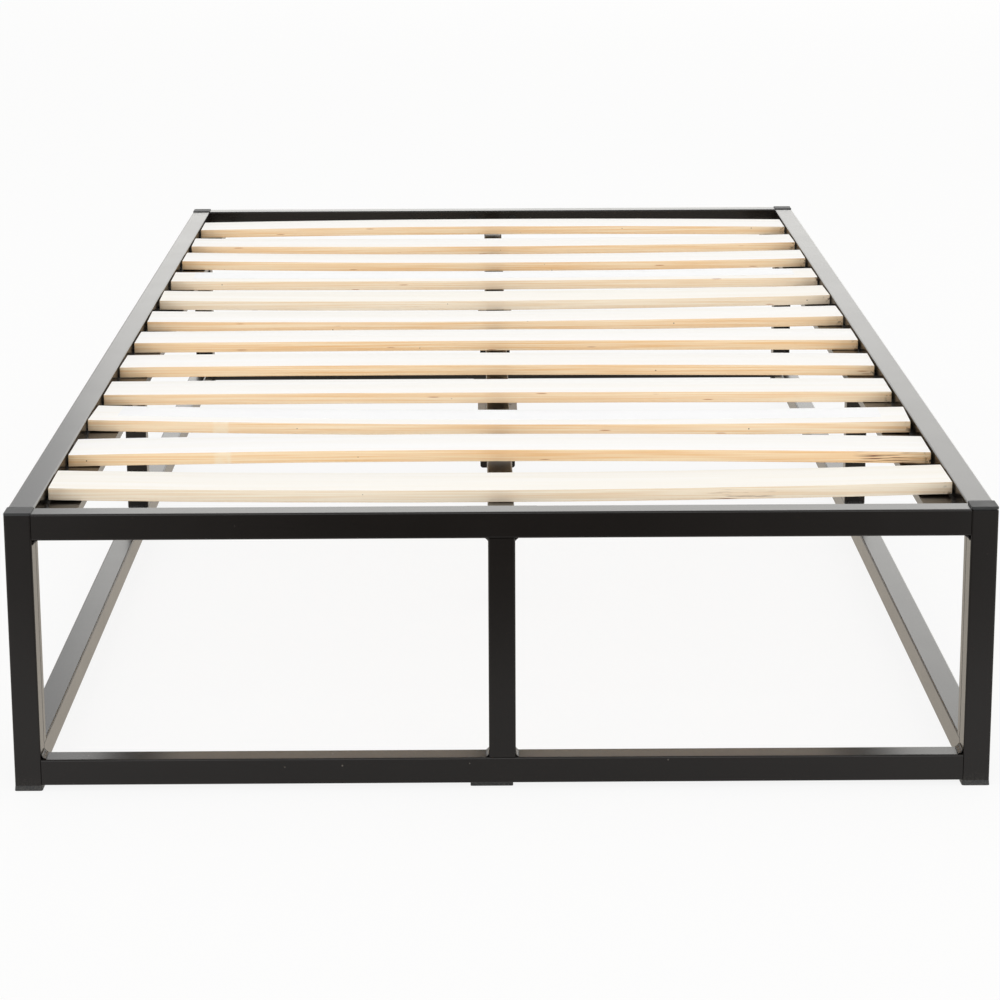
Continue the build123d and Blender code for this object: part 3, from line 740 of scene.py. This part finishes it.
def tube_corners():
    """Every inner corner: the bead's size, its place, the ways along rail and post, and its run."""
    corners = []
    for end in ("foot", "head"):
        y = sum(corner.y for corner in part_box(f"{end}_top_rail")) / 2
        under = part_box(f"{end}_top_rail")[0].z
        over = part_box(f"{end}_bottom_rail")[1].z
        left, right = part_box(f"{end}_centre_post")
        faces = [(CORNER_BEAD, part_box(f"{end}_left_post")[1].x, 1),
                 (CORNER_BEAD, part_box(f"{end}_right_post")[0].x, -1),
                 (CENTRE_BEAD, left.x, -1), (CENTRE_BEAD, right.x, 1)]
        for size, x, way in faces:
            corners.append((size, (x, y, under), (way, 0, 0), (0, 0, -1), (0, 1, 0)))
            corners.append((size, (x, y, over), (way, 0, 0), (0, 0, 1), (0, 1, 0)))
    for side in ("left", "right"):
        low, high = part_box(f"{side}_mid_post")
        x = (low.x + high.x) / 2
        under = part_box(f"{side}_top_rail")[0].z
        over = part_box(f"{side}_bottom_rail")[1].z
        for y, way in ((low.y, -1), (high.y, 1)):
            corners.append((MID_BEAD, (x, y, under), (0, way, 0), (0, 0, -1), (1, 0, 0)))
            corners.append((MID_BEAD, (x, y, over), (0, way, 0), (0, 0, 1), (1, 0, 0)))
    return corners


def place_bead(number, size, corner, along, up, run):
    """A copy of the bead in a corner, every other one turned end for end and no two quite as large."""
    bpy.ops.object.select_all(action="DESELECT")
    copy = master_bead.copy()
    copy.data = master_bead.data.copy()
    bpy.context.scene.collection.objects.link(copy)
    size *= random.Random(number).uniform(SMALLEST, LARGEST)
    flip = 1 if number % 2 else -1
    turn = Matrix((Vector(along) * size, Vector(run) * flip, Vector(up) * size)).transposed()
    copy.matrix_world = Matrix.Translation(corner) @ turn.to_4x4()
    return copy


beads = [place_bead(number, *corner) for number, corner in enumerate(tube_corners())]
bpy.ops.object.select_all(action="DESELECT")
for bead in beads:
    bead.select_set(True)
bpy.context.view_layer.objects.active = beads[0]
bpy.ops.object.transform_apply(location=True, rotation=True, scale=True)
bpy.ops.object.join()
welds = bpy.context.object
welds.name = "rippled_weld_beads"
bpy.ops.object.mode_set(mode="EDIT")
bpy.ops.mesh.select_all(action="SELECT")
bpy.ops.mesh.normals_make_consistent(inside=False)
bpy.ops.object.mode_set(mode="OBJECT")
bpy.ops.object.shade_smooth()
bpy.data.objects.remove(master_bead)
welds.data.materials.append(POWDER_COAT)
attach(welds, "frame")
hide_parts("weld_beads")
print(len(beads), "beads,", len(welds.data.polygons), "faces")

# %% [markdown]
# ## A white studio
#
# The bed stands in a white room. The floor is a large pale sheet: to the eye it is mostly plain white, with
# enough ordinary shading left to keep the bed's soft shadow. The room around is even light at a level
# where colours come out as they are written. A black coat shows little but what it mirrors, and a studio
# is dim in front, behind its lamps. So the floor in front of the bed is mirrored darker, least so close to
# the bed and out to the sides, and the front of the room is mirrored darker too. Black cards round the bed
# would do the same, but they would show in views from other sides.

# %% Floor and room
FLOOR_SIDE = 60
FLOOR_DROP = 0.5 * MM
FLOOR_WHITE = 0.88
# Places along the bed, in metres from its middle, between which the aisle in front of it brightens
AISLE_START, AISLE_END = -1.75, -1.2
DIM_AISLE, NEAR_AISLE = 0.0, 0.62
SIDE_GAIN = 1.1
MOST_MIRRORED = 0.82


def mirrored_floor(tree):
    """How bright the coat mirrors a spot on the floor, and whether that spot lies behind the foot rail."""
    place = add_node(tree, "ShaderNodeTexCoord").outputs["Object"]
    across, along, _ = add_node(tree, "ShaderNodeSeparateXYZ", {0: place}).outputs
    aisle = add_node(tree, "ShaderNodeMapRange", {
        "Value": along, "From Min": AISLE_START, "From Max": AISLE_END,
        "To Min": DIM_AISLE, "To Max": NEAR_AISLE})
    aside = add_node(tree, "ShaderNodeMath", {0: across, 1: across}, operation="MULTIPLY")
    wider = add_node(tree, "ShaderNodeMath", {
        0: aside.outputs[0], 1: SIDE_GAIN, 2: aisle.outputs[0]}, operation="MULTIPLY_ADD")
    foot_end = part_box("foot_bottom_rail")
    behind = add_node(tree, "ShaderNodeMapRange", {
        "Value": along, "From Min": foot_end[0].y, "From Max": foot_end[1].y}).outputs[0]
    brighter = add_node(tree, "ShaderNodeMath", {0: wider.outputs[0], 1: behind}, operation="MAXIMUM")
    level = add_node(tree, "ShaderNodeMath", {
        0: brighter.outputs[0], 1: MOST_MIRRORED}, operation="MINIMUM").outputs[0]
    return level, behind


def studio_floor():
    """White to the eye, with enough real shading to keep the shadow; mirrored darker in front, and warm
    behind.
    """
    material, tree, shader = start_material("pale_floor", {
        "Roughness": 0.9, "Base Color": linear("#f2f1ef")})
    ray = add_node(tree, "ShaderNodeLightPath").outputs
    seen = add_node(tree, "ShaderNodeMath", {
        0: ray["Is Camera Ray"], 1: ray["Is Glossy Ray"]}, operation="MAXIMUM")
    seen = add_node(tree, "ShaderNodeMath", {
        0: seen.outputs[0], 1: ray["Is Transmission Ray"]}, operation="MAXIMUM")
    share = add_node(tree, "ShaderNodeMath", {0: seen.outputs[0], 1: FLOOR_WHITE}, operation="MULTIPLY")
    mirrored, behind = mirrored_floor(tree)
    level = add_node(tree, "ShaderNodeMix", {0: ray["Is Glossy Ray"], 2: 1.0, 3: mirrored})
    # Painted reflection: behind the foot rail the floor is mirrored with a faint warm tint, as of light off
    # timber
    warm = add_node(tree, "ShaderNodeMath", {0: ray["Is Glossy Ray"], 1: behind}, operation="MULTIPLY")
    tone = add_node(tree, "ShaderNodeMix", {
        0: warm.outputs[0], 6: linear("#ffffff"), 7: linear("#fff5e6")}, data_type="RGBA")
    white = add_node(tree, "ShaderNodeEmission", {"Color": tone.outputs[2], "Strength": level.outputs[0]})
    both = add_node(tree, "ShaderNodeMixShader", {
        0: share.outputs[0], 1: shader.outputs[0], 2: white.outputs[0]})
    tree.links.new(both.outputs[0], tree.nodes["Material Output"].inputs["Surface"])
    return material


bpy.ops.object.select_all(action="DESELECT")
bpy.ops.mesh.primitive_plane_add(size=FLOOR_SIDE, location=(0, 0, -FLOOR_DROP))
floor = bpy.context.object
floor.name = "studio_floor"
floor.data.materials.append(studio_floor())

AMBIENT = 0.7
DIM_FRONT = 0.25
# How far a direction points to the back, from -1 to 1, where the dim front ends and the full light starts
FRONT_ENDS, BACK_STARTS = -0.8, 0.4


def studio_room():
    """Even light all round, white to the eye, and darker in front for what the coat mirrors."""
    world = bpy.data.worlds.new("white_room")
    bpy.context.scene.world = world
    world.use_nodes = True
    tree = world.node_tree
    ray = add_node(tree, "ShaderNodeLightPath").outputs
    way = add_node(tree, "ShaderNodeTexCoord").outputs["Generated"]
    back = add_node(tree, "ShaderNodeSeparateXYZ", {0: way}).outputs[1]
    mirrored = add_node(tree, "ShaderNodeMapRange", {
        "Value": back, "From Min": FRONT_ENDS, "From Max": BACK_STARTS,
        "To Min": DIM_FRONT, "To Max": 1.0})
    seen = add_node(tree, "ShaderNodeMath", {
        0: ray["Is Camera Ray"], 1: ray["Is Transmission Ray"]}, operation="MAXIMUM")
    lit = add_node(tree, "ShaderNodeMix", {0: seen.outputs[0], 2: AMBIENT, 3: 1.0})
    level = add_node(tree, "ShaderNodeMix", {
        0: ray["Is Glossy Ray"], 2: lit.outputs[0], 3: mirrored.outputs[0]})
    tree.links.new(level.outputs[0], tree.nodes["Background"].inputs["Strength"])
    tree.nodes["Background"].inputs["Color"].default_value = linear("#ffffff")


studio_room()
print("floor", FLOOR_SIDE, "m wide, room", bpy.context.scene.world.name)

# %% [markdown]
# ## Lamps
#
# Three softboxes give the light its direction: a wide one overhead for the slats, one high behind the
# camera for the front edges, and a low one behind the head end, which the tops of the rails mirror as pale
# grey. That last one stands off to the right, so the right rail mirrors more of it than the left one does.
# Area lamps are used, because the coat would mirror a point or a sun as a hard small spot.

# %% Three softboxes
def softbox(name, place, target, size, power):
    """A rectangular soft lamp that looks at a target and stays out of the picture."""
    lamp = bpy.data.lights.new(name, "AREA")
    lamp.shape = "RECTANGLE"
    lamp.size, lamp.size_y = size
    lamp.energy = power
    holder = bpy.data.objects.new(name, lamp)
    bpy.context.scene.collection.objects.link(holder)
    holder.location = place
    holder.rotation_euler = (Vector(target) - Vector(place)).to_track_quat("-Z", "Y").to_euler()
    holder.visible_camera = False
    return holder


softbox("overhead_softbox", place=(0, 0.3, 3.2), target=(0, 0.3, 0), size=(3.0, 4.0), power=18)
softbox("front_softbox", place=(0, -12.0, 5.4), target=(0, 0, 0.2), size=(15.0, 8.0), power=660)
back = softbox("back_softbox", place=(2.6, 10.0, 2.4), target=(0, 0, 0.3), size=(9.6, 4.6), power=116)
back.data.color = linear("#fffdf6")[:3]
print("three softboxes")

# %% [markdown]
# ## Camera
#
# The picture was taken from in front of the foot end, from a little under a metre up, with a long lens
# that looks slightly down. The camera is turned about its own axes in that order: level, tilt and aim. Its
# lens isn't shifted, so that views from other sides stay centred.

# %% Place the camera
CAMERA_PLACE = (-17.1 * MM, -3601.6 * MM, 934.5 * MM)
CAMERA_TILT = math.radians(-13.92)
CAMERA_AIM = math.radians(-0.34)
CAMERA_LEVEL = math.radians(0.23)
CAMERA_SENSOR, CAMERA_LENS = 36, 107.8
camera = bpy.data.objects.new("camera", bpy.data.cameras.new("camera"))
bpy.context.scene.collection.objects.link(camera)
camera.data.sensor_width = CAMERA_SENSOR
camera.data.lens = CAMERA_LENS
camera.location = CAMERA_PLACE
upright = Matrix.Rotation(math.radians(90), 3, "X")
turn = (Matrix.Rotation(CAMERA_AIM, 3, "Z") @ Matrix.Rotation(CAMERA_TILT, 3, "X")
        @ Matrix.Rotation(CAMERA_LEVEL, 3, "Y") @ upright)
camera.rotation_euler = turn.to_euler()
bpy.context.scene.camera = camera
bpy.context.scene.view_settings.view_transform = "Standard"
print("camera", round(camera.location.z, 3), "m up with a", round(camera.data.lens), "mm lens")
